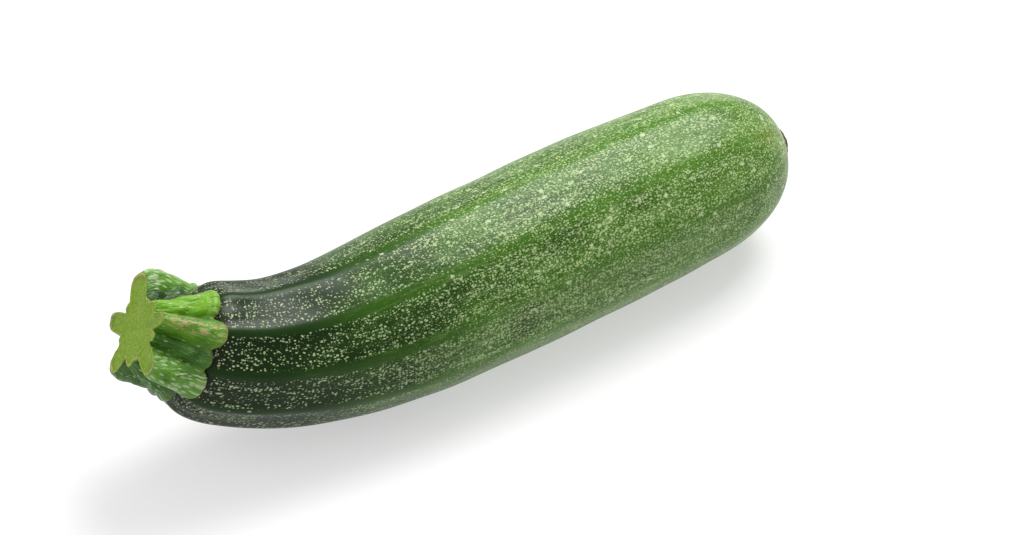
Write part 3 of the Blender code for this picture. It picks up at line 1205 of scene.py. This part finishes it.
@dataclass
class Stem:
    """The ribbed stem, cut off square, whose toes spread over the fruit's shoulder."""

    fruit: Fruit
    finish: StemFinish = StemFinish()
    ribs: tuple[Rib, ...] = STEM_RIBS
    length: float = 0.0094
    core_radius: float = 0.0080
    groove_depth: float = 0.0018
    groove_thickness: float = 0.0009
    lean_aside: float = math.radians(-4.3)
    lean_up: float = math.radians(2)
    groove_flare: float = 1.9
    rib_flare: float = 1.1
    swell_shift: float = 0.7
    cut_tilt_aside: float = math.radians(6)
    cut_tilt_up: float = math.radians(5)
    cut_dish: float = 0.0004
    cut_edge_rounding: float = 0.0005
    gap: float = 0.0003
    rib_blend: float = 7.0
    rib_flatness: float = 3.2
    rib_fall: float = 0.6
    face_latitude: float = 0.20
    toe_latitude: float = 0.62
    sole_latitude: float = 0.78
    edge_share: float = 0.10
    sunk: float = 0.0008            # how far the toes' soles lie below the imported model's
    torn_rim: float = 0.00030
    rim_place: float = 0.965        # shares of the cut face's radius
    rim_width: float = 0.025
    teeth_least: float = 0.55
    teeth_height: float = 0.45
    teeth: tuple[Wave, ...] = (
        Wave(29, 0.0, 0.2, 0.5), Wave(47, 0.0, 1.1, 0.4), Wave(83, 0.0, 2.9, 0.3))
    cut_unevenness: float = 0.00013
    cut_waves: tuple[Wave, ...] = (
        Wave(3, 7.0, 0.5, 0.5), Wave(7, -13.0, 2.0, 0.4), Wave(13, 23.0, 4.0, 0.3))
    furrows: tuple[Wave, ...] = (
        Wave(23, 2.0, 0.3, 0.00010), Wave(37, -3.0, 1.7, 0.00009), Wave(61, 4.0, 4.4, 0.00005),
        Wave(5, 6.0, 2.2, 0.00016), Wave(9, -8.0, 0.8, 0.00014), Wave(14, 11.0, 3.1, 0.00011))
    furrows_start: Span = (0.0, 0.06)       # shares of the way down from the cut to the toes
    creases: tuple[Wave, ...] = (
        Wave(4, 13.0, 0.7, 0.00016), Wave(11, -9.0, 2.9, 0.00014), Wave(19, 17.0, 1.3, 0.00010),
        Wave(31, -6.0, 4.6, 0.00008))
    creases_start: Span = (0.15, 0.45)
    creases_end: Span = (0.90, 1.0)
    side_spread: float = 0.25       # what the ribs spread by on their way down
    toe_length: float = 0.004
    crest_start: float = 0.15
    green_edge: float = 0.05        # share of the way down over which the cut's colour ends
    rim_colour_place: float = 0.97
    rim_colour_width: float = 0.035
    rim_colour_end: float = 0.07
    toe_colour: Span = (-0.02, 0.10)        # latitudes from the toes' edge
    packed_segments: int = 64
    packed_rings: int = 23
    segments: int = 300
    rings: int = 190

    def rib_field(self, angle: Array, share: Array) -> RibField:
        """What the ribs say at angles round the stem.

        Args:
            angle: Angle round the stem.
            share: Share of the way down from the cut face to the toes.

        Returns:
            The blended reach, toe depth and so on.
        """
        floors = (self.core_radius, self.groove_depth, self.groove_thickness) + (0.0,) * 5
        sums = [np.full_like(angle, floor) ** self.rib_blend for floor in floors]
        for rib in self.ribs:
            centre = np.radians(rib.face_angle + (rib.foot_angle - rib.face_angle) * share)
            away = np.abs((angle - centre + math.pi) % TURN - math.pi)
            width = math.radians(rib.half_width)
            flank = np.exp(-self.rib_fall * (away / width) ** self.rib_flatness)
            heights = (rib.face_reach, rib.foot_depth, rib.thickness, rib.swell, 1.0,
                       rib.frost, rib.warmth, rib.cork)
            for index, height in enumerate(heights):
                sums[index] = sums[index] + (height * flank) ** self.rib_blend
        return RibField(*(total ** (1 / self.rib_blend) for total in sums))

    def cut_point(self, angle: Array, reach: Array, height: Array) -> Array:
        """Find points of the stem's top.

        Args:
            angle: Angle round the stem's axis.
            reach: Distance from it.
            height: Height along it, over the shoulder's tip.

        Returns:
            The points.
        """
        along, aside, upward = self.fruit.line.axes(np.array(0.0))
        sideways = reach * np.cos(angle) + math.tan(self.lean_aside) * height
        upwards = reach * np.sin(angle) + math.tan(self.lean_up) * height
        return aside * sideways[..., None] + upward * upwards[..., None] - along * height[..., None]

    def shape(self, latitude: Array, angle: Array, fine: bool) -> Array:
        """Points of the stem: its cut face, down its ribs, round their toes, then its sole.

        Args:
            latitude: Share of the way from the cut face's centre to the sole's.
            angle: Angle round the stem.
            fine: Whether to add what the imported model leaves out.

        Returns:
            The points, in the growth line's frame.
        """
        face = stretch(latitude, 0.0, self.face_latitude)
        side = stretch(latitude, self.face_latitude, self.toe_latitude)
        toe = stretch(latitude, self.toe_latitude, self.sole_latitude)
        sole = stretch(latitude, self.sole_latitude, 1.0)
        ribs = self.rib_field(angle, side)

        edge = stretch(side, 0.0, self.edge_share)
        reach = (ribs.reach - self.cut_edge_rounding * (1.0 - edge) ** 2) * face
        height = self.length + math.tan(self.cut_tilt_aside) * reach * np.cos(angle)
        height = height + math.tan(self.cut_tilt_up) * reach * np.sin(angle)
        height = height - self.cut_dish * (1.0 - face**2) - self.cut_edge_rounding * edge**2
        if fine:
            reach = reach + self.fibres(angle, side) * face
            height = height + self.ragged(face, edge, angle)
        top = self.cut_point(angle, reach, height)

        half, rest = ribs.thickness / 2, self.gap
        if fine:
            half, rest = half + self.sunk / 2, rest - self.sunk
        outward = rest + half + half * np.cos(math.pi * toe)
        depth = (ribs.depth + half * np.sin(math.pi * toe)) * (1.0 - sole) ** 2
        foot = self.fruit.skin_layer(depth, angle, outward)

        down = stretch(side, self.edge_share, 1.0)
        stand = np.clip(ribs.stand, 0.0, 1.0)
        flare = self.groove_flare + (self.rib_flare - self.groove_flare) * stand
        late = down**self.swell_shift
        bulge = 4 * ribs.swell * late * (1.0 - late)
        if fine:
            bulge = bulge + self.lumps(angle, side)
        axis, aside, upward = self.fruit.line.axes(np.array(0.0))
        drop = ((foot - top) @ axis)[..., None] * axis
        radial = aside * np.cos(angle)[..., None] + upward * np.sin(angle)[..., None]
        spread = (foot - top - drop) * (down**flare)[..., None] + radial * bulge[..., None]
        return top + drop * down[..., None] + spread

    def fibres(self, angle: Array, side: Array) -> Array:
        """Fine furrows that run down the ribs."""
        return undulation(angle, side, self.furrows) * soft_step(side, *self.furrows_start)

    def lumps(self, angle: Array, side: Array) -> Array:
        """Soft lumps and creases low on the ribs, where they spread over the shoulder."""
        low_down = soft_step(side, *self.creases_start) * (1.0 - soft_step(side, *self.creases_end))
        return undulation(angle, side, self.creases) * low_down

    def ragged(self, face: Array, edge: Array, angle: Array) -> Array:
        """The uneven cut: a thin torn rim, and a rough face inside it.

        Args:
            face: Share of the way out from the cut face's centre.
            edge: Share of the way over its rounded edge.
            angle: Angle round the stem.

        Returns:
            The height to add.
        """
        rim = np.exp(-((face - self.rim_place) / self.rim_width) ** 2)
        teeth = self.teeth_least + self.teeth_height * undulation(angle, face, self.teeth)
        rough = self.cut_unevenness * undulation(angle, face, self.cut_waves) * face
        return (self.torn_rim * rim * teeth + rough) * (1.0 - edge)

    def build(self, shift: Array) -> bpy.types.Object:
        """Make the stem's piece.

        Args:
            shift: How far the growth line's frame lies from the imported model's.

        Returns:
            The finished object.
        """
        grown = GrownMesh("courgette_stem", self.segments, self.rings)
        grown.mould(lambda latitude, angle: self.shape(latitude, angle, True), shift)
        latitude, angle = grown.latitude, grown.angle
        face = stretch(latitude, 0.0, self.face_latitude)
        side = stretch(latitude, self.face_latitude, self.toe_latitude)
        ribs = self.rib_field(angle, side)
        tallest = max(rib.face_reach for rib in self.ribs)
        radius = ribs.reach * face * (1.0 + self.side_spread * side)
        toes = stretch(latitude, self.toe_latitude, 1.0)
        walked = side * self.length + toes * self.toe_length
        rim = np.exp(-((face - self.rim_colour_place) / self.rim_colour_width) ** 2)
        before_toes, on_toes = self.toe_colour
        traces = {
            Trace.PLACE: np.stack([walked, radius * np.cos(angle), radius * np.sin(angle)], -1),
            Trace.ALONG: ribs.reach * face / tallest,
            Trace.CREST: stretch(ribs.stand, self.crest_start, 1.0),
            Trace.CUT: 1.0 - soft_step(side, 0.0, self.green_edge),
            Trace.RIM: rim * (1.0 - soft_step(side, 0.0, self.rim_colour_end)),
            Trace.TOE: soft_step(latitude - self.toe_latitude, before_toes, on_toes),
            Trace.FROST: ribs.frost,
            Trace.WARMTH: ribs.warmth,
            Trace.CORK: ribs.cork,
        }
        return grown.finish(latitude, traces, self.finish.material(), Slot.STEM, "stem")

    def packed_low(self) -> Array:
        """Find the lowest corner of the stem, meshed as it was packed.

        Returns:
            The corner, in the growth line's frame.
        """
        coarse = GrownMesh("packed_stem", self.packed_segments, self.packed_rings)
        places = self.shape(coarse.latitude, coarse.angle, False)
        coarse.mesh.free()
        return places.min(axis=0)


# --- The blossom scar -----------------------------------------------------------------------

@dataclass
class BlossomScar:
    """The low scar on the tip, with five faint lobes like the flower that left it."""

    fruit: Fruit
    finish: ScarFinish = ScarFinish()
    radius: float = 0.0032
    height: float = 0.0018
    lobe_share: float = 0.08
    dome_latitude: float = 0.6
    sunk: float = 0.0002
    edge_waves: tuple[Wave, ...] = (
        Wave(9, 3.0, 0.4, 0.03), Wave(17, -5.0, 2.0, 0.025), Wave(31, 9.0, 4.0, 0.02))
    crater_depth: float = 0.45      # a share of the scar's height, as the wrinkles are
    crater_width: float = 0.35
    wrinkles: tuple[Wave, ...] = (Wave(10, 6.0, 0.0, 0.10), Wave(23, 14.0, 1.0, 0.07))
    segments: int = 160
    rings: int = 72

    def surface(self, latitude: Array, angle: Array) -> Array:
        """Find points of the scar: a low cratered dome, and its sole in the skin.

        Args:
            latitude: Share of the way from the dome's top to the sole's middle.
            angle: Angle round the middle line.

        Returns:
            The points.
        """
        dome = stretch(latitude, 0.0, self.dome_latitude)
        sole = stretch(latitude, self.dome_latitude, 1.0)
        ragged = undulation(angle, dome, self.edge_waves)
        rim = self.radius * (1.0 + self.lobe_share * np.cos(self.fruit.facets * angle) + ragged)
        share = rim * np.sin(dome * math.pi / 2) * (1.0 - sole) / self.fruit.blossom_radius
        depth = (1.0 - np.sqrt(1.0 - share**2)) * self.fruit.blossom_rounding
        crater = self.crater_depth * np.exp(-((dome / self.crater_width) ** 2))
        wrinkles = undulation(angle, dome, self.wrinkles) * dome * (1.0 - dome)
        lift = np.cos(dome * math.pi / 2) * (1.0 - crater) + wrinkles
        return self.fruit.skin_layer(
            self.fruit.line.length - depth, angle, self.height * lift - self.sunk)

    def build(self, shift: Array) -> bpy.types.Object:
        """Make the scar's piece.

        Args:
            shift: How far the growth line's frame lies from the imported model's.

        Returns:
            The finished object.
        """
        grown = GrownMesh("courgette_blossom_scar", self.segments, self.rings)
        places = grown.mould(self.surface, shift)
        traces = {Trace.PLACE: places}
        return grown.finish(grown.latitude, traces, self.finish.material(), Slot.SCAR,
                            "blossom_scar")


# --- The studio -----------------------------------------------------------------------------

@dataclass(frozen=True)
class SoftLight:
    """A rectangular soft light that faces the object."""

    name: str
    place: Triple
    width: float
    depth: float
    power: float
    target: Triple = (0.0, 0.0, 0.02)

    def build(self) -> None:
        """Hang the light and turn it to its target."""
        data = bpy.data.lights.new(self.name, "AREA")
        data.shape, data.size, data.size_y = "RECTANGLE", self.width, self.depth
        data.energy = self.power
        light = bpy.data.objects.new(self.name, data)
        light.location = self.place
        aim = Vector(self.target) - Vector(self.place)
        light.rotation_euler = aim.to_track_quat("-Z", "Y").to_euler()
        bpy.context.scene.collection.objects.link(light)


@dataclass
class Studio:
    """The pale floor, the soft lights and the camera."""

    floor_finish: FloorFinish = FloorFinish()
    floor_size: float = 12.0
    lights: tuple[SoftLight, ...] = (
        SoftLight("key_light", (0.80, 0.36, 1.25), 0.88, 0.78, 27.0),
        SoftLight("top_light", (-0.10, 0.10, 1.45), 2.2, 1.8, 7.5),
        SoftLight("left_light", (-1.2, 0.20, 0.95), 1.2, 1.2, 7.5),
    )
    room_colour: Colour = (1.0, 1.0, 1.0)
    room_strength: float = 0.38
    azimuth: float = math.radians(-35.5)
    elevation: float = math.radians(39.4)
    camera_distance: float = 0.95
    lens: float = 134.1
    sensor: float = 36.0
    nearest: float = 0.01
    farthest: float = 50.0
    target: Triple = (0.01143, -0.00086, 0.01900)

    def build_floor(self) -> None:
        """Lay the floor."""
        mesh = bmesh.new()
        bmesh.ops.create_grid(mesh, x_segments=2, y_segments=2, size=self.floor_size / 2)
        data = bpy.data.meshes.new("studio_floor")
        mesh.to_mesh(data)
        mesh.free()
        data.materials.append(self.floor_finish.material())
        floor = bpy.data.objects.new("studio_floor", data)
        bpy.context.scene.collection.objects.link(floor)

    def build_room(self) -> None:
        """Fill the room with even light, and show colours as they are."""
        world = bpy.data.worlds.new("studio_room")
        world.use_nodes = True
        background = world.node_tree.nodes["Background"]
        background.inputs["Color"].default_value = (*self.room_colour, 1.0)
        background.inputs["Strength"].default_value = self.room_strength
        bpy.context.scene.world = world
        bpy.context.scene.view_settings.view_transform = "Standard"

    def build_camera(self) -> None:
        """Place the camera at its angle, looking at the target."""
        level = math.cos(self.elevation)
        back = Vector((math.sin(self.azimuth) * level, -math.cos(self.azimuth) * level,
                       math.sin(self.elevation)))
        data = bpy.data.cameras.new("studio_camera")
        data.lens, data.sensor_width = self.lens, self.sensor
        data.clip_start, data.clip_end = self.nearest, self.farthest
        camera = bpy.data.objects.new("studio_camera", data)
        camera.location = Vector(self.target) + back * self.camera_distance
        camera.rotation_euler = back.to_track_quat("Z", "Y").to_euler()
        bpy.context.scene.collection.objects.link(camera)
        bpy.context.scene.camera = camera

    def build(self) -> None:
        """Set up the whole studio."""
        self.build_floor()
        self.build_room()
        for light in self.lights:
            light.build()
        self.build_camera()


def main() -> None:
    """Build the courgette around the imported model, then the studio."""
    logging.basicConfig(level=logging.INFO, format="%(name)s: %(message)s")
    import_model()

    fruit = Fruit(GrowthLine())
    stem = Stem(fruit)
    shift = np.array(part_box("stem")[0]) - stem.packed_low()
    for part in (fruit, stem, BlossomScar(fruit)):
        piece = part.build(shift)
        LOG.info("%s is in place", piece.name)
    Studio().build()

    LOG.info("sizes written")


if __name__ == "__main__":
    main()
